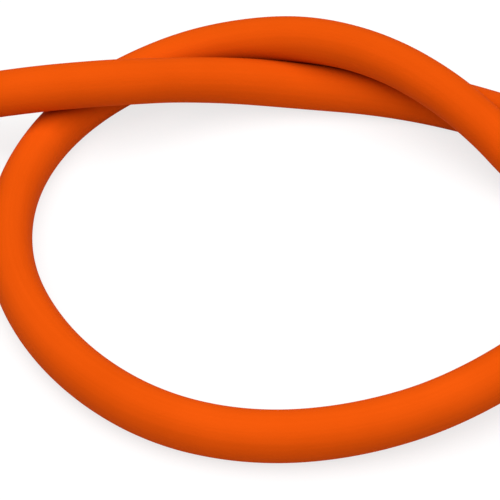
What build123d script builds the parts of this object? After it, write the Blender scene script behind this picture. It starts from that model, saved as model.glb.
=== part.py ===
from build123d import *

import os
from math import radians, tan

# Sizes of the tube, in millimetres
bore_diameter = 8.0
wall = 2.0
strand_gap = 0.3
arc_share = 0.45

# Route of the tube's middle line through one loose overhand knot, from the left end to the right end.
# Each row is a place on the table in millimetres, then how much of a crossing's rise the line is lifted by.
route_with_lift_shares = [
    # left end, lying on the table
    (-135, 52, 0),
    (-97, 45, 0),
    # over the first crossing
    (-58, 41, 1.02),
    (-29, 44.5, 1.06),
    # down beside the other strand, then under it at the second crossing
    (-6, 53.5, 0.49),
    (18, 57, 0.04),
    (40, 55.8, 0),
    (60, 48.7, 0.04),
    # round the right side of the loop, over the third crossing
    (82.5, 33.5, 0.5),
    (93.5, 8.5, 1.06),
    (92.5, -19, 1.06),
    (78.5, -42.5, 0.73),
    # front of the loop, coming down to the table
    (53, -57, 0.28),
    (29, -65, 0.08),
    (5, -66.5, 0),
    (-19, -59, 0),
    # left side of the loop
    (-41, -40, 0),
    (-53.5, -11, 0),
    (-53.5, 20, 0),
    # under the first crossing, then up beside the other strand
    (-40.5, 48.5, 0),
    (-15, 65.5, 0.37),
    (12.5, 67, 0.81),
    # over the second crossing
    (36, 56.5, 1.1),
    (58, 38, 0.93),
    # under the third crossing and out to the right end
    (77.5, 18.5, 0.04),
    (103.5, -8.5, 0),
    (132, -31, 0),
]

bore_radius = bore_diameter / 2
outer_radius = bore_radius + wall
crossing_rise = 2 * outer_radius + strand_gap
route = [Vector(x, y, outer_radius + share * crossing_rise) for x, y, share in route_with_lift_shares]


def bend_radius(before, corner, after):
    """Radius of the largest arc that leaves a short straight stretch in the middle of each run."""
    run_in = corner - before
    run_out = after - corner
    shorter_run = min(run_in.length, run_out.length)
    return arc_share * shorter_run / tan(radians(run_in.get_angle(run_out) / 2))


bend_radii = [bend_radius(*corner) for corner in zip(route, route[1:], route[2:])]

# Tube: a ring section carried along the route, open at both cut ends
with BuildPart() as gas_tube:
    with BuildLine() as middle_line:
        FilletPolyline(*route, radius=bend_radii)
    tube_path = middle_line.wire()
    with BuildSketch(Plane(origin=tube_path @ 0, z_dir=tube_path % 0)) as ring:
        Circle(outer_radius)
        Circle(bore_radius, mode=Mode.SUBTRACT)
    sweep(path=tube_path)

gas_tube.part.label = "gas_tube"

os.makedirs("parts", exist_ok=True)
export_step(gas_tube.part, "parts/gas_tube.step")

print("bend radii, mm:", [round(radius, 1) for radius in bend_radii])
print("tightest bend, in outer diameters:", round(min(bend_radii) / (2 * outer_radius), 2))
print("tube length, mm:", round(tube_path.length, 1))
print("volume, mm3:", round(gas_tube.part.volume, 1))
print("section times length, mm3:", round(ring.sketch.area * tube_path.length, 1))
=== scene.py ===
"""Looks of a length of orange rubber gas tubing that lies in a loose overhand knot.

Lengths are in metres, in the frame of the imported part: +X to the right, +Y away from the viewer, +Z up.
"""

import logging
import math
from dataclasses import dataclass
from enum import Enum

import bpy
import numpy as np
from mathutils import Euler, Matrix


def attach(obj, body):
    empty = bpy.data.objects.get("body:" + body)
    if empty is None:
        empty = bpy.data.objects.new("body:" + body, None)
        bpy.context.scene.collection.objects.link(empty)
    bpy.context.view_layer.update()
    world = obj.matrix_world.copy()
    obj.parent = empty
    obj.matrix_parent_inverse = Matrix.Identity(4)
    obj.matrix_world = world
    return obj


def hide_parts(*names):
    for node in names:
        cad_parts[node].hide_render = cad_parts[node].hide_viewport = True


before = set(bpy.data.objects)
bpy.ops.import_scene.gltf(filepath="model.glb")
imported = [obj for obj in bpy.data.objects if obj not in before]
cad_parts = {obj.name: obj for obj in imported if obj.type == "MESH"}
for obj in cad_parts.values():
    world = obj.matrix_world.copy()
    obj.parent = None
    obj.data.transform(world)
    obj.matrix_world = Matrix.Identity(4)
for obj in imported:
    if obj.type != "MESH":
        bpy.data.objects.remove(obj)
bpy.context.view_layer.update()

log = logging.getLogger("gas_tubing")

TUBE_NODE = "gas_tube"
BODY = "root"
RUBBER_SLOT = "orange_rubber"
STRAIGHT_PLACE = "straight_place"
CUT_FACE = "cut_face"
BORE_WALL = "bore_wall"
STRAND_TOUCH = "strand_touch"
BAKE_MAP = "OFBake"

Colour = tuple[float, float, float]
Point = tuple[float, float, float]
Band = tuple[float, float]
Socket = bpy.types.NodeSocket

UP: Point = (0.0, 0.0, 1.0)
WHITE: Colour = (1.0, 1.0, 1.0)

# Places of the colour sockets on a mix node, whose names are also those of its other sockets
MIX_SHARE, MIX_FIRST, MIX_SECOND, MIX_RESULT = 0, 6, 7, 2


class Suppleness(Enum):
    """How freely a cord bends."""

    LIMP = "limp"
    MEDIUM = "medium"
    STIFF = "stiff"


class FarEnd(Enum):
    """What the far end of a cord is."""

    BARE = "bare"
    FITTING = "fitting"


class Lay(Enum):
    """How a cord lies: in loose curves, or in turns that can leave the picture and come back into it."""

    LOOSE = "loose"
    COILED = "coiled"


class WallPart(Enum):
    """The three surfaces of a cut length of tube."""

    SKIN = 0
    CUT = 1
    BORE = 2


# Route of the tube's middle line through the knot, from the left end to the right end.
# Each row is a place on the table, then how much of a crossing's rise the line is lifted by.
KNOT_ROUTE: list[Point] = [
    # left end, lying on the table
    (-0.135, 0.0515, 0),
    (-0.097, 0.0445, 0),
    # over the first crossing
    (-0.058, 0.0407, 1.02),
    (-0.029, 0.0445, 1.06),
    # down beside the other strand, then under it at the second crossing
    (-0.006, 0.0537, 0.49),
    (0.018, 0.0578, 0.04),
    (0.040, 0.0552, 0),
    (0.060, 0.0487, 0.04),
    # round the right side of the loop, over the third crossing
    (0.0825, 0.0313, 0.44),
    (0.0935, 0.0085, 1.06),
    (0.0925, -0.019, 1.06),
    (0.0785, -0.0411, 0.73),
    # front of the loop, coming down to the table
    (0.053, -0.0577, 0.28),
    (0.029, -0.0657, 0.08),
    (0.005, -0.0672, 0),
    (-0.0189, -0.0600, 0),
    # left side of the loop
    (-0.0405, -0.0396, 0),
    (-0.0536, -0.0112, 0),
    (-0.0536, 0.020, 0),
    # under the first crossing, then up beside the other strand
    (-0.0404, 0.0485, 0),
    (-0.015, 0.0645, 0.37),
    (0.0125, 0.0661, 0.81),
    # over the second crossing
    (0.0361, 0.0564, 1.1),
    (0.0585, 0.0384, 0.93),
    # under the third crossing and out to the right end
    (0.0778, 0.0187, 0.04),
    (0.1035, -0.0085, 0),
    (0.132, -0.031, 0),
]


def unit(vectors: np.ndarray) -> np.ndarray:
    """Vectors of length one along the last axis."""
    return vectors / np.linalg.norm(vectors, axis=-1, keepdims=True)


def soft_floor(height: np.ndarray, softness: float) -> np.ndarray:
    """Heights that bend smoothly away from zero instead of crossing it.

    The formula is half the sum of the height and the square root of the height squared plus the
    softness squared.

    Args:
        height: Heights above the surface, some of them below it.
        softness: How far from the surface the bending starts.

    Returns:
        The heights, none of them below zero.
    """
    return (height + np.sqrt(height**2 + softness**2)) / 2


def facing(place: Point, aim: Point) -> tuple[np.ndarray, np.ndarray, np.ndarray]:
    """Axes of a lamp that looks from a place at an aim, level with the table.

    Args:
        place: Where it is.
        aim: What it looks at.

    Returns:
        Its axes to the right, up and backwards.
    """
    back = unit(np.subtract(place, aim))
    across = unit(np.cross(UP, back))
    return across, np.cross(back, across), back


def rotation(across: np.ndarray, up: np.ndarray, back: np.ndarray) -> Euler:
    """Euler angles of the axes to the right, up and backwards."""
    return Matrix(np.column_stack([across, up, back]).tolist()).to_euler()


@dataclass(frozen=True)
class ShaderNodes:
    """Adds nodes to a material or to the surroundings.

    Attributes:
        tree: The nodes that it adds to.
    """

    tree: bpy.types.NodeTree

    def link(self, source: Socket, target: Socket) -> None:
        """Joins an output to an input."""
        self.tree.links.new(source, target)

    def give(self, target: Socket, given: Socket | Colour | float) -> None:
        """Gives an input what it works with.

        Args:
            target: The input.
            given: Another node's output, a colour or a number.
        """
        if isinstance(given, Socket):
            self.link(given, target)
        elif isinstance(given, tuple):
            target.default_value = (*given, 1.0)
        else:
            target.default_value = given

    def attribute(self, name: str, output: str) -> Socket:
        """Reads an attribute of the mesh.

        Args:
            name: What the attribute is called.
            output: Which of the node's outputs is wanted.

        Returns:
            The attribute.
        """
        node = self.tree.nodes.new("ShaderNodeAttribute")
        node.attribute_name = name
        return node.outputs[output]

    def noise(self, place: Socket, patch: Point, detail: float) -> Socket:
        """Noise whose patches have their own size along each axis of the straight tube.

        Args:
            place: Places on the straight tube.
            patch: Size of a patch along each axis.
            detail: How many finer layers are added.

        Returns:
            The noise, from 0 to 1.
        """
        stretch = self.tree.nodes.new("ShaderNodeMapping")
        stretch.inputs["Scale"].default_value = [1 / size for size in patch]
        self.link(place, stretch.inputs["Vector"])
        noise = self.tree.nodes.new("ShaderNodeTexNoise")
        noise.inputs["Scale"].default_value = 1.0
        noise.inputs["Detail"].default_value = detail
        self.link(stretch.outputs["Vector"], noise.inputs["Vector"])
        return noise.outputs["Fac"]

    def spread(self, value: Socket, band: Band, to: Band = (0.0, 1.0)) -> Socket:
        """Stretches a range of a value over another range.

        Args:
            value: The value to stretch.
            band: Start and end of its range.
            to: What the start and the end become.

        Returns:
            The stretched value, held within the new range.
        """
        node = self.tree.nodes.new("ShaderNodeMapRange")
        for name, number in zip(("From Min", "From Max", "To Min", "To Max"), (*band, *to)):
            node.inputs[name].default_value = number
        self.link(value, node.inputs["Value"])
        return node.outputs["Result"]

    def maths(self, operation: str, first: Socket, second: Socket | float) -> Socket:
        """Works out one value from two.

        Args:
            operation: What is done with them.
            first: The first value.
            second: The second value.

        Returns:
            The result.
        """
        node = self.tree.nodes.new("ShaderNodeMath")
        node.operation = operation
        for target, given in zip(node.inputs, (first, second)):
            self.give(target, given)
        return node.outputs["Value"]

    def mix(self, share: Socket | float, first: Socket | Colour, second: Socket | Colour) -> Socket:
        """Mixes two colours.

        Args:
            share: How much of the second colour there is.
            first: The first colour.
            second: The second colour.

        Returns:
            The mixed colour.
        """
        node = self.tree.nodes.new("ShaderNodeMix")
        node.data_type = "RGBA"
        for place, given in ((MIX_SHARE, share), (MIX_FIRST, first), (MIX_SECOND, second)):
            self.give(node.inputs[place], given)
        return node.outputs[MIX_RESULT]

    def mix_shaders(self, share: Socket, first: Socket, second: Socket) -> Socket:
        """Mixes two shaders.

        Args:
            share: How much of the second shader there is.
            first: The first shader.
            second: The second shader.

        Returns:
            The mixed shader.
        """
        node = self.tree.nodes.new("ShaderNodeMixShader")
        for target, given in zip(node.inputs, (share, first, second)):
            self.link(given, target)
        return node.outputs["Shader"]

    def bump(self, height: Socket, depth: float, below: Socket | None = None) -> Socket:
        """Raises the surface by a noise's height.

        Args:
            height: The height, from 0 to 1.
            depth: How far a height of 1 stands out.
            below: Another bump's normal that this one is added to.

        Returns:
            The new normal.
        """
        node = self.tree.nodes.new("ShaderNodeBump")
        node.inputs["Distance"].default_value = depth
        self.link(height, node.inputs["Height"])
        if below is not None:
            self.link(below, node.inputs["Normal"])
        return node.outputs["Normal"]


@dataclass(frozen=True)
class RubberFinish:
    """Smooth extruded rubber, coloured right through, with a dull satin skin and a dusty bore.

    Attributes:
        colour: The rubber's own colour.
        deep_colour: The darker, redder tone of the batch's uneven mixing.
        cut_colour: A freshly cut face, which has no skin.
        dust_colour: The powder that keeps the bore from sticking to itself.
        crease_shade_colour: Painted shade, a dark red laid on the skin where two strands lie close, standing
            in for the shade in the crease between them.
        crease_shade_share: How much of that painted shade there is where they touch.
        gloss: Strength of the rubber's reflections, where 0.5 is that of clear glass.
        gloss_tint: Colour that the rubber gives to its reflections.
        roughness: Roughness where the rubber is smoothest and where it is dullest.
        cloud_size: Width of a patch of uneven colour.
        cloud_detail: Finer layers in those patches.
        streak_width: Width of the fine lines that the die leaves along the tube.
        streak_length: Length of those lines.
        streak_share: How much of the uneven colour follows the die lines and not the patches.
        grain_size: Width of the skin's fine grain.
        fine_detail: Finer layers in the die lines and the grain.
        cloud_band: Part of the patches' noise that goes from one tone to the other.
        streak_band: Part of the die lines' noise that goes from one tone to the other.
        dust_band: Part of the patches' noise that goes from no powder to all of it.
        dull_band: Part of the patches' noise that goes from smooth to dull.
        streak_depth: Height of the die lines.
        grain_depth: Height of the grain.
    """

    colour: Colour = (0.73, 0.083, 0.003)
    deep_colour: Colour = (0.66, 0.073, 0.002)
    cut_colour: Colour = (0.74, 0.110, 0.012)
    dust_colour: Colour = (0.74, 0.34, 0.18)
    crease_shade_colour: Colour = (0.20, 0.014, 0.001)
    crease_shade_share: float = 0.72
    gloss: float = 0.03
    gloss_tint: Colour = (1.0, 0.50, 0.18)
    roughness: Band = (0.72, 0.86)
    cloud_size: float = 0.030
    cloud_detail: float = 3.0
    streak_width: float = 0.0007
    streak_length: float = 0.060
    streak_share: float = 0.35
    grain_size: float = 0.0004
    fine_detail: float = 2.0
    cloud_band: Band = (0.36, 0.64)
    streak_band: Band = (0.30, 0.70)
    dust_band: Band = (0.40, 0.70)
    dull_band: Band = (0.30, 0.70)
    streak_depth: float = 0.00002
    grain_depth: float = 0.00001

    def material(self) -> bpy.types.Material:
        """Makes the rubber's material from noise on the tube's own straight coordinates.

        Returns:
            The finished material.
        """
        made = bpy.data.materials.new(RUBBER_SLOT)
        made.use_nodes = True
        shader = made.node_tree.nodes["Principled BSDF"]
        nodes = ShaderNodes(made.node_tree)
        nodes.give(shader.inputs["Specular IOR Level"], self.gloss)
        nodes.give(shader.inputs["Specular Tint"], self.gloss_tint)
        place = nodes.attribute(STRAIGHT_PLACE, "Vector")
        clouds = nodes.noise(place, (self.cloud_size,) * 3, self.cloud_detail)
        streak = (self.streak_length, self.streak_width, self.streak_width)
        streaks = nodes.noise(place, streak, self.fine_detail)
        grain = nodes.noise(place, (self.grain_size,) * 3, self.fine_detail)
        nodes.link(self._colours(nodes, clouds, streaks), shader.inputs["Base Color"])
        nodes.link(nodes.spread(clouds, self.dull_band, self.roughness), shader.inputs["Roughness"])
        lines = nodes.bump(streaks, self.streak_depth)
        nodes.link(nodes.bump(grain, self.grain_depth, lines), shader.inputs["Normal"])
        return made

    def _colours(self, nodes: ShaderNodes, clouds: Socket, streaks: Socket) -> Socket:
        """Mixes the skin's two tones, then lays the painted crease shade, the cut faces and the powder over
        them.

        Args:
            nodes: The material's nodes.
            clouds: Noise of the uneven patches.
            streaks: Noise of the die lines.

        Returns:
            The rubber's colour all over.
        """
        cloudy = nodes.mix(nodes.spread(clouds, self.cloud_band), self.deep_colour, self.colour)
        streaky = nodes.mix(nodes.spread(streaks, self.streak_band), self.deep_colour, self.colour)
        skin = nodes.mix(self.streak_share, cloudy, streaky)
        # Painted shade: the skin darkens towards a dark red where another strand lies close, standing in for
        # the crease's shade.
        painted_shade = nodes.maths("MULTIPLY", nodes.attribute(STRAND_TOUCH, "Fac"), self.crease_shade_share)
        shaded_skin = nodes.mix(painted_shade, skin, self.crease_shade_colour)
        cut = nodes.mix(nodes.attribute(CUT_FACE, "Fac"), shaded_skin, self.cut_colour)
        dusty = nodes.spread(clouds, self.dust_band)
        dust = nodes.maths("MULTIPLY", dusty, nodes.attribute(BORE_WALL, "Fac"))
        return nodes.mix(dust, cut, self.dust_colour)


@dataclass
class MiddleLine:
    """A smooth line through space, as points at even steps.

    Attributes:
        along: How far each point is along the line.
        points: The points.
        tangents: The direction of the line at each point.
        bends: The curvature vector at each point, averaged over about one tube diameter.
    """

    along: np.ndarray
    points: np.ndarray
    tangents: np.ndarray
    bends: np.ndarray

    @classmethod
    def through(cls, fine: np.ndarray, steps: int, averaged_over: float) -> "MiddleLine":
        """Spaces a finely drawn line evenly and works out its direction and bend.

        The direction is the change of the points along the line, and the bend is the change of the
        direction. Both are averaged with the weights of a bell curve.

        Args:
            fine: Points close together on the line.
            steps: How many points the new line has.
            averaged_over: Standard deviation of the bell curve.

        Returns:
            The evenly spaced line.
        """
        reach = np.concatenate([[0.0], np.cumsum(np.linalg.norm(np.diff(fine, axis=0), axis=1))])
        along = np.linspace(0.0, reach[-1], steps)
        points = np.stack([np.interp(along, reach, fine[:, axis]) for axis in range(3)], axis=1)
        tangents = unit(np.gradient(points, along, axis=0))
        raw_bends = np.gradient(tangents, along, axis=0)
        apart = along[:, None] - along[None, :]
        weights = np.exp(-((apart / averaged_over) ** 2) / 2)
        weights /= weights.sum(axis=1, keepdims=True)
        return cls(along, points, unit(weights @ tangents), weights @ raw_bends)

    def at(self, along: np.ndarray, values: np.ndarray) -> np.ndarray:
        """Values of the line's points, read at other places along it."""
        return np.stack([np.interp(along, self.along, values[:, axis]) for axis in range(3)], axis=1)

    @property
    def length(self) -> float:
        """Whole length of the line."""
        return float(self.along[-1])


@dataclass
class Section:
    """One closed line down the tube's wall.

    It goes along the skin, round one cut end, back through the bore and round the other cut end.

    Attributes:
        along: How far each point is along the tube.
        out: How far it is from the middle line.
        part: The surface that it is on, as the number of a WallPart.
    """

    along: np.ndarray
    out: np.ndarray
    part: np.ndarray


@dataclass(frozen=True)
class GirthWave:
    """One slow rise and fall of the tube's girth along its length.

    Attributes:
        share: How much wider than its size the tube is at the widest places.
        spacing: From one widest place to the next.
        place: Where along the tube a widest place is.
    """

    share: float
    spacing: float
    place: float

    def at(self, along: np.ndarray) -> np.ndarray:
        """Added girth at places along the tube, as a cosine of the distance from the widest place."""
        return self.share * np.cos(2 * math.pi * (along - self.place) / self.spacing)


@dataclass(frozen=True)
class KnifeWave:
    """One part of the knife's wander round a cut.

    Attributes:
        count: How many times it rises in one turn.
        share: How much of the wander it is.
        start: Where it starts, in radians.
    """

    count: int
    share: float
    start: float

    def at(self, angle: np.ndarray) -> np.ndarray:
        """Share of the wander at angles round the cut, as a sine of the angle."""
        return self.share * np.sin(self.count * angle + self.start)


@dataclass
class GasTube:
    """One length of rubber tube, open at both cut ends, tied in a loose overhand knot.

    Attributes:
        bore: Inside diameter.
        wall: Thickness of the rubber.
        strand_gap: Space between two strands where they cross.
        cut_length: Length that the tube was cut to.
        suppleness: How freely it bends; not used.
        edge_round: Radius of the edges that the knife leaves.
        bend_oval_share: How much the bend below flattens the round section.
        oval_bend: Radius of that bend.
        slim_share: How much thinner than its size the tube came out of the die.
        girth_waves: How it swells and thins along its length.
        cut_lean_share: How far out of square the ends are cut, as a slope.
        cut_lean_turn: Angle round the tube at which the cut leans furthest, in radians.
        cut_lean_reach: How far from an end the lean is felt.
        cut_ripple: How far the knife wandered on the cut face.
        knife_waves: How it wandered round the cut.
        same_strand: How far along the tube is still the same strand.
        table_softness: How far above the table the pressed underside starts to flatten.
        press_softness: How far from another strand the pressed side starts to flatten.
        crease_shade_reach: How near two strands are where the painted shade between them has fallen to a
            third.
        spline_order: Order of the spline, where 3 makes it quadratic.
        spline_steps: Points that the spline is drawn with between two route points.
        line_steps: Points of the middle line.
        skin_rings: Rings of faces along the skin.
        bore_rings: Rings of faces along the bore.
        edge_rings: Rings of faces round a cut edge.
        cut_rings: Rings of faces across a cut face.
        around: Faces round the tube.
        map_rows: Rows of skin in the map that the finish can be painted on.
        map_border_share: Empty border of each row, as a share of the row.
    """

    bore: float = 0.008
    wall: float = 0.002
    strand_gap: float = 0.0003
    cut_length: float = 0.75
    suppleness: Suppleness = Suppleness.LIMP
    edge_round: float = 0.00025
    bend_oval_share: float = 0.036
    oval_bend: float = 0.060
    slim_share: float = 0.019
    girth_waves: tuple[GirthWave, ...] = (
        GirthWave(0.033, 0.190, 0.390),
        GirthWave(0.018, 0.700, 0.280),
        GirthWave(0.0015, 0.090, 0.081),
        GirthWave(0.0015, 0.045, 0.009),
    )
    cut_lean_share: float = 0.035
    cut_lean_turn: float = 0.7
    cut_lean_reach: float = 0.019
    cut_ripple: float = 0.00008
    knife_waves: tuple[KnifeWave, ...] = (KnifeWave(3, 0.6, 0.4), KnifeWave(7, 0.4, 2.1))
    same_strand: float = 0.060
    table_softness: float = 0.0002
    press_softness: float = 0.0001
    crease_shade_reach: float = 0.0013
    spline_order: int = 3
    spline_steps: int = 48
    line_steps: int = 1200
    skin_rings: int = 560
    bore_rings: int = 200
    edge_rings: int = 4
    cut_rings: int = 6
    around: int = 80
    map_rows: int = 5
    map_border_share: float = 0.03

    @property
    def outer_radius(self) -> float:
        """Outside radius."""
        return self.bore / 2 + self.wall

    @property
    def diameter(self) -> float:
        """Outside diameter."""
        return 2 * self.outer_radius

    @property
    def angles(self) -> np.ndarray:
        """Angles round the tube, from its right side as seen along it, by way of its top."""
        return np.linspace(0.0, 2 * math.pi, self.around, endpoint=False)

    def route(self) -> np.ndarray:
        """Lifts the route's points by half the tube and by their share of a crossing's rise.

        Returns:
            The points that the middle line follows.
        """
        points = np.array(KNOT_ROUTE)
        crossing_rise = self.diameter + self.strand_gap
        points[:, 2] = self.outer_radius + points[:, 2] * crossing_rise
        return points

    def middle_line(self) -> MiddleLine:
        """Draws the route as one smooth spline and reads points along it.

        Returns:
            The tube's middle line.
        """
        points = self.route()
        curve = bpy.data.curves.new("tube_route", "CURVE")
        curve.dimensions = "3D"
        spline = curve.splines.new("NURBS")
        spline.points.add(len(points) - 1)
        spline.points.foreach_set("co", np.column_stack([points, np.ones(len(points))]).ravel())
        spline.order_u = self.spline_order
        spline.use_endpoint_u = True
        spline.resolution_u = self.spline_steps
        holder = bpy.data.objects.new("tube_route", curve)
        drawn = bpy.data.meshes.new_from_object(holder)
        fine = np.empty(len(drawn.vertices) * 3)
        drawn.vertices.foreach_get("co", fine)
        bpy.data.meshes.remove(drawn)
        bpy.data.objects.remove(holder)
        bpy.data.curves.remove(curve)
        return MiddleLine.through(fine.reshape(-1, 3), self.line_steps, self.outer_radius)

    def wall_section(self, length: float) -> Section:
        """Draws the wall's lengthwise section: two straight lines joined by the cut ends.

        A cut end is a straight line between two edges, each a quarter circle of sines and cosines.

        Args:
            length: Length of the tube.

        Returns:
            The section, from the left end along the skin and back through the bore.
        """
        edge, outer, inner = self.edge_round, self.outer_radius, self.bore / 2
        turn = np.linspace(0.0, math.pi / 2, self.edge_rings + 1)
        face = np.linspace(outer - edge, inner + edge, self.cut_rings + 1)[1:-1]
        end_along = np.concatenate(
            [
                length - edge + edge * np.sin(turn),
                np.full(len(face), length),
                length - edge + edge * np.cos(turn),
            ]
        )
        end_out = np.concatenate(
            [outer - edge + edge * np.cos(turn), face, inner + edge - edge * np.sin(turn)]
        )
        skin_along = np.linspace(edge, length - edge, self.skin_rings + 1)[1:-1]
        bore_along = np.linspace(length - edge, edge, self.bore_rings + 1)[1:-1]
        along = np.concatenate([skin_along, end_along, bore_along, length - end_along[::-1]])
        out = np.concatenate(
            [np.full(len(skin_along), outer), end_out, np.full(len(bore_along), inner), end_out[::-1]]
        )
        counts = (len(skin_along), len(end_along), len(bore_along), len(end_along))
        parts = (WallPart.SKIN, WallPart.CUT, WallPart.BORE, WallPart.CUT)
        part = np.repeat([kind.value for kind in parts], counts)
        return Section(along, out, part)

    def wall_surface(self, line: MiddleLine, section: Section) -> np.ndarray:
        """Carries the wall's section round and along the middle line.

        A point is the middle line's point plus its distance times the direction at its angle. The
        directions are square to the line and start level with the table. Bends flatten the circle into
        an oval, the cut ends lean, a thin place sinks until its underside is back on its level, strands
        that meet press each other flat, and the table flattens the underside.

        Args:
            line: The tube's middle line.
            section: The wall's lengthwise section.

        Returns:
            Points, as section by angle by axis.
        """
        middle = line.at(section.along, line.points)
        tangent = unit(line.at(section.along, line.tangents))
        across = unit(np.cross(tangent, UP))
        above = np.cross(across, tangent)
        outward = np.cos(self.angles)[None, :, None] * across[:, None, :]
        outward = outward + np.sin(self.angles)[None, :, None] * above[:, None, :]
        girth = self._girth(line, section, outward)
        points = middle[:, None, :] + (section.out[:, None] * girth)[:, :, None] * outward
        points += self._cut_slide(line, section)[:, :, None] * tangent[:, None, :]
        underside = 3 * self.around // 4
        points[:, :, 2] += self.outer_radius * (girth[:, [underside]] - 1)
        points = self._pressed_by_strands(line, section, middle, points)
        points[:, :, 2] = soft_floor(points[:, :, 2], self.table_softness)
        return points

    def _girth(self, line: MiddleLine, section: Section, outward: np.ndarray) -> np.ndarray:
        """How much wider than the round section the tube is, by place and angle.

        Twice the squared part of the bend that points along a direction, less the whole bend squared, is
        the oval that a bend makes: thinner in the plane of the bend and thicker across it. The waves
        along the tube are the die's unevenness.

        Args:
            line: The tube's middle line.
            section: The wall's lengthwise section.
            outward: Direction of each point from the middle line.

        Returns:
            The girth as a factor, as section by angle.
        """
        bend = line.at(section.along, line.bends)
        toward = np.einsum("sa,sva->sv", bend, outward)
        oval = (2 * toward**2 - (bend**2).sum(axis=1)[:, None]) * self.oval_bend**2
        along_tube = sum(wave.at(section.along) for wave in self.girth_waves) - self.slim_share
        return 1 - self.bend_oval_share * oval + along_tube[:, None]

    def _cut_slide(self, line: MiddleLine, section: Section) -> np.ndarray:
        """How far the leaning cuts move each point along the tube.

        It is the point's distance from the middle line times the slope of the cut at its angle, and
        fades evenly to nothing at the lean's reach from an end.

        Args:
            line: The tube's middle line.
            section: The wall's lengthwise section.

        Returns:
            The move along the tube, as section by angle.
        """
        ripple = self.cut_ripple / self.outer_radius * sum(wave.at(self.angles) for wave in self.knife_waves)
        slope = self.cut_lean_share * np.cos(self.angles - self.cut_lean_turn) + ripple
        from_end = np.minimum(section.along, line.length - section.along)
        end_share = np.clip(1 - from_end / self.cut_lean_reach, 0, 1)
        return (end_share * section.out)[:, None] * slope[None, :]

    def _pressed_by_strands(
        self, line: MiddleLine, section: Section, middle: np.ndarray, points: np.ndarray
    ) -> np.ndarray:
        """Flattens the tube where another strand lies against it.

        Half way to the nearest place on another strand stands the plane that both press on, and no point
        of the skin passes it.

        Args:
            line: The tube's middle line.
            section: The wall's lengthwise section.
            middle: The middle line's point for each point of the section.
            points: The tube's points.

        Returns:
            The points after pressing.
        """
        toward = line.points[self._nearest_strand(line, section, middle)] - middle
        distance = np.linalg.norm(toward, axis=1)
        toward /= distance[:, None]
        reach = np.einsum("sva,sa->sv", points - middle[:, None, :], toward)
        room = distance[:, None] / 2 - reach
        press = soft_floor(room, self.press_softness) - room
        press *= (section.part != WallPart.BORE.value)[:, None]
        return points - press[:, :, None] * toward[:, None, :]

    def _nearest_strand(self, line: MiddleLine, section: Section, middle: np.ndarray) -> np.ndarray:
        """Finds the other strand that is nearest to each point of the section.

        Args:
            line: The tube's middle line.
            section: The wall's lengthwise section.
            middle: The middle line's point for each point of the section.

        Returns:
            For each point of the section, the number of the middle line's point on that strand.
        """
        same_strand = np.abs(section.along[:, None] - line.along[None, :]) < self.same_strand
        apart = np.linalg.norm(middle[:, None, :] - line.points[None, :, :], axis=2)
        return np.where(same_strand, np.inf, apart).argmin(axis=1)

    def strand_touch(self, line: MiddleLine, section: Section, points: np.ndarray) -> np.ndarray:
        """How near each point of the skin is to another strand, which sets where the finish paints shade in
        the creases.

        It falls with the gap between the point and that strand's outside as a decaying exponential: one
        where they touch, and a third at the crease's reach.

        Args:
            line: The tube's middle line.
            section: The wall's lengthwise section.
            points: The tube's points.

        Returns:
            Nearness from 0 to 1, as section by angle.
        """
        nearest = self._nearest_strand(line, section, line.at(section.along, line.points))
        side_steps = round(self.diameter / line.along[1])
        stretch = nearest[:, None] + np.arange(-side_steps, side_steps + 1)[None, :]
        strand = line.points[np.clip(stretch, 0, self.line_steps - 1)]
        apart = np.linalg.norm(points[:, :, None, :] - strand[:, None, :, :], axis=3).min(axis=2)
        gap = np.maximum(apart - self.outer_radius, 0.0)
        return np.exp(-gap / self.crease_shade_reach) * (section.part == WallPart.SKIN.value)[:, None]

    def straight_place(self, section: Section) -> np.ndarray:
        """Where each point would lie if the tube were straight.

        That is its place along the tube, then its distance from the middle line times the cosine and the
        sine of its angle.

        Args:
            section: The wall's lengthwise section.

        Returns:
            Places, as section by angle by axis.
        """
        along = np.repeat(section.along[:, None], self.around, axis=1)
        level = section.out[:, None] * np.cos(self.angles)[None, :]
        height = section.out[:, None] * np.sin(self.angles)[None, :]
        return np.stack([along, level, height], axis=2)

    def bake_map(self, section: Section) -> np.ndarray:
        """Lays the wall out flat on the map.

        The skin and one cut end fill some rows, and the bore and the other cut end fill one more. Across
        the map goes the distance along the section, and up each row goes the angle round the tube.

        Args:
            section: The wall's lengthwise section.

        Returns:
            Places on the map for each face's four corners, as section by angle by corner by axis.
        """
        next_along, next_out = np.roll(section.along, -1), np.roll(section.out, -1)
        steps = np.hypot(next_along - section.along, next_out - section.out)
        stop = np.cumsum(steps)
        start = stop - steps
        half = stop[-1] / 2
        in_bore = (start + stop) / 2 > half
        row_length = np.where(in_bore, half, half / self.map_rows)
        row = np.where(in_bore, self.map_rows, (start + stop) / 2 // row_length)
        row_start = np.where(in_bore, half, row * row_length)
        inside = 1 - 2 * self.map_border_share
        left = self.map_border_share + inside * (start - row_start) / row_length
        right = self.map_border_share + inside * (stop - row_start) / row_length
        turn = np.arange(self.around + 1) / self.around
        up = (row[:, None] + self.map_border_share + inside * turn[None, :]) / (self.map_rows + 1)
        edges = (left[:, None], right[:, None], up[:, :-1], up[:, 1:])
        left, right, low, high = np.broadcast_arrays(*edges)
        across = np.stack([left, right, right, left], axis=2)
        return np.stack([across, np.stack([low, low, high, high], axis=2)], axis=3)

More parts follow.
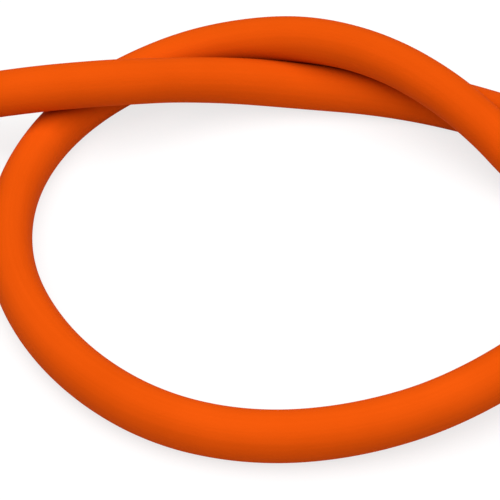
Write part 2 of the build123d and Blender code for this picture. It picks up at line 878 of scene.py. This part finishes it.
    def build(self) -> tuple[bpy.types.Object, MiddleLine]:
        """Makes the tube's mesh, with each ring of points joined to the next and the last to the first.

        Returns:
            The tube, and the line that it follows.
        """
        line = self.middle_line()
        section = self.wall_section(line.length)
        points = self.wall_surface(line, section)
        count = len(section.along)
        ring = np.arange(count)[:, None]
        step = np.arange(self.around)[None, :]
        next_ring, next_step = (ring + 1) % count, (step + 1) % self.around
        corners = [
            ring * self.around + step,
            next_ring * self.around + step,
            next_ring * self.around + next_step,
            ring * self.around + next_step,
        ]
        faces = np.stack(np.broadcast_arrays(*corners), axis=2).reshape(-1, 4)
        mesh = bpy.data.meshes.new("rubber_tube")
        mesh.from_pydata(points.reshape(-1, 3), [], faces)
        mesh.polygons.foreach_set("use_smooth", np.ones(len(faces), bool))
        self._add_attributes(mesh, section, self.strand_touch(line, section, points))
        mesh.update()
        tube = bpy.data.objects.new("rubber_tube", mesh)
        bpy.context.scene.collection.objects.link(tube)
        return tube, line

    def _add_attributes(self, mesh: bpy.types.Mesh, section: Section, touch: np.ndarray) -> None:
        """Gives the mesh what its finish reads, and its flat map.

        Args:
            mesh: The tube's mesh.
            section: The wall's lengthwise section.
            touch: How near each point is to another strand.
        """
        straight = mesh.attributes.new(STRAIGHT_PLACE, "FLOAT_VECTOR", "POINT")
        straight.data.foreach_set("vector", self.straight_place(section).ravel())
        shares = {
            CUT_FACE: np.repeat((section.part == WallPart.CUT.value).astype(float), self.around),
            BORE_WALL: np.repeat((section.part == WallPart.BORE.value).astype(float), self.around),
            # Nearness to another strand, which the finish turns into painted crease shade
            STRAND_TOUCH: touch.ravel(),
        }
        for name, share in shares.items():
            mesh.attributes.new(name, "FLOAT", "POINT").data.foreach_set("value", share)
        flat = mesh.uv_layers.new(name=BAKE_MAP)
        flat.uv.foreach_set("vector", self.bake_map(section).ravel())

    def dress(self, tube: bpy.types.Object, finish: RubberFinish) -> None:
        """Gives the tube its finish and says what it is.

        Args:
            tube: The tube's object.
            finish: The rubber's finish.
        """
        tube.data.materials.append(finish.material())
        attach(tube, BODY)
        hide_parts(TUBE_NODE)


@dataclass(frozen=True)
class Softbox:
    """A large square lamp that shines on the middle of the tube.

    Attributes:
        name: What the lamp is called.
        place: Where it hangs.
        side: Width of its square.
        power: Its power in watts.
    """

    name: str
    place: Point
    side: float
    power: float

    def build(self, aim: Point) -> None:
        """Hangs the lamp, facing the point it lights.

        Args:
            aim: That point.
        """
        lamp = bpy.data.lights.new(self.name, "AREA")
        lamp.shape = "SQUARE"
        lamp.size = self.side
        lamp.energy = self.power
        holder = bpy.data.objects.new(self.name, lamp)
        bpy.context.scene.collection.objects.link(holder)
        holder.location = self.place
        holder.rotation_euler = rotation(*facing(self.place, aim))
        holder.visible_camera = False


@dataclass
class Studio:
    """White table, white surroundings, soft light from above, and the photograph's camera.

    Attributes:
        aim: The point in the middle of the picture.
        elevation_degrees: How far above the table the camera stands.
        distance: From the camera to the point in the middle.
        focal_pixels: Focal length, in pixels of the picture.
        picture_pixels: Width of the picture.
        table_side: Width of the table.
        table_colour: Colour of the table where the camera sees it.
        table_bounce_colour: Colour of the light that the table throws back on the tube.
        table_glow_share: How much of the table's white is its own where the camera sees it.
        sky_strength: Light from all round.
        white_strength: Strength of the plain white that the camera sees.
        lamps: The softboxes.
    """

    aim: Point = (0.005, -0.004, 0.006)
    elevation_degrees: float = 43.0
    distance: float = 0.714
    focal_pixels: float = 2946.0
    picture_pixels: float = 500.0
    table_side: float = 12.0
    table_colour: Colour = (0.96, 0.96, 0.96)
    table_bounce_colour: Colour = (0.60, 0.60, 0.60)
    table_glow_share: float = 0.75
    sky_strength: float = 0.095
    white_strength: float = 1.0
    lamps: tuple[Softbox, ...] = (
        Softbox("overhead_softbox", (0.0, -0.26, 1.25), 2.0, 34.0),
    )

    def build(self) -> None:
        """Sets up the camera, the lamps, the surroundings and the table."""
        self._camera()
        for lamp in self.lamps:
            lamp.build(self.aim)
        self._surroundings()
        self._table()
        bpy.context.scene.view_settings.view_transform = "Standard"

    def _camera(self) -> None:
        """Places the camera where the photograph was taken from."""
        tilt = math.radians(self.elevation_degrees)
        away = np.array([0.0, -math.cos(tilt), math.sin(tilt)]) * self.distance
        lens = bpy.data.cameras.new("photo_camera")
        lens.lens = self.focal_pixels / self.picture_pixels * lens.sensor_width
        camera = bpy.data.objects.new("photo_camera", lens)
        bpy.context.scene.collection.objects.link(camera)
        camera.location = np.add(self.aim, away)
        camera.rotation_euler = (math.pi / 2 - tilt, 0.0, 0.0)
        bpy.context.scene.camera = camera

    @staticmethod
    def _seen_directly(nodes: ShaderNodes) -> Socket:
        """Tells what the camera sees, straight or in a reflection, from light that bounces.

        Args:
            nodes: The nodes of the table or the surroundings.

        Returns:
            One for what is seen, and zero for light that bounces.
        """
        path = nodes.tree.nodes.new("ShaderNodeLightPath")
        seen = path.outputs["Is Camera Ray"]
        for name in ("Is Glossy Ray", "Is Transmission Ray"):
            seen = nodes.maths("MAXIMUM", seen, path.outputs[name])
        return seen

    def _surroundings(self) -> None:
        """Sets up even light from all round, and plain white where it is seen."""
        world = bpy.data.worlds.new("white_surroundings")
        bpy.context.scene.world = world
        world.use_nodes = True
        tree = world.node_tree
        nodes = ShaderNodes(tree)
        light = tree.nodes["Background"]
        white = tree.nodes.new("ShaderNodeBackground")
        for background, strength in ((light, self.sky_strength), (white, self.white_strength)):
            nodes.give(background.inputs["Color"], WHITE)
            nodes.give(background.inputs["Strength"], strength)
        seen = self._seen_directly(nodes)
        mixed = nodes.mix_shaders(seen, light.outputs["Background"], white.outputs["Background"])
        nodes.link(mixed, tree.nodes["World Output"].inputs["Surface"])

    def _table(self) -> None:
        """Lays the table under the tube."""
        half = self.table_side / 2
        corners = [(-half, -half, 0.0), (half, -half, 0.0), (half, half, 0.0), (-half, half, 0.0)]
        mesh = bpy.data.meshes.new("table")
        mesh.from_pydata(corners, [], [(0, 1, 2, 3)])
        mesh.materials.append(self._table_paint())
        table = bpy.data.objects.new("table", mesh)
        bpy.context.scene.collection.objects.link(table)

    def _table_paint(self) -> bpy.types.Material:
        """Makes the table's material: white, and keeping the tube's shadow.

        Returns:
            The material.
        """
        made = bpy.data.materials.new("white_table")
        made.use_nodes = True
        tree = made.node_tree
        tree.nodes.remove(tree.nodes["Principled BSDF"])
        nodes = ShaderNodes(tree)
        seen = self._seen_directly(nodes)
        paint = tree.nodes.new("ShaderNodeBsdfDiffuse")
        nodes.link(nodes.mix(seen, self.table_bounce_colour, self.table_colour), paint.inputs["Color"])
        glow = tree.nodes.new("ShaderNodeEmission")
        nodes.give(glow.inputs["Strength"], self.white_strength)
        share = nodes.maths("MULTIPLY", seen, self.table_glow_share)
        mixed = nodes.mix_shaders(share, paint.outputs["BSDF"], glow.outputs["Emission"])
        nodes.link(mixed, tree.nodes["Material Output"].inputs["Surface"])
        return made


def main() -> None:
    """Builds the studio and the tube."""
    logging.basicConfig(level=logging.INFO, format="%(message)s")
    Studio().build()
    log.info("studio: camera, table and soft light")
    gas_tube = GasTube()
    tube, line = gas_tube.build()
    gas_tube.dress(tube, RubberFinish())
    log.info("tube: %d faces along %.3f m", len(tube.data.polygons), line.length)


if __name__ == "__main__":
    main()
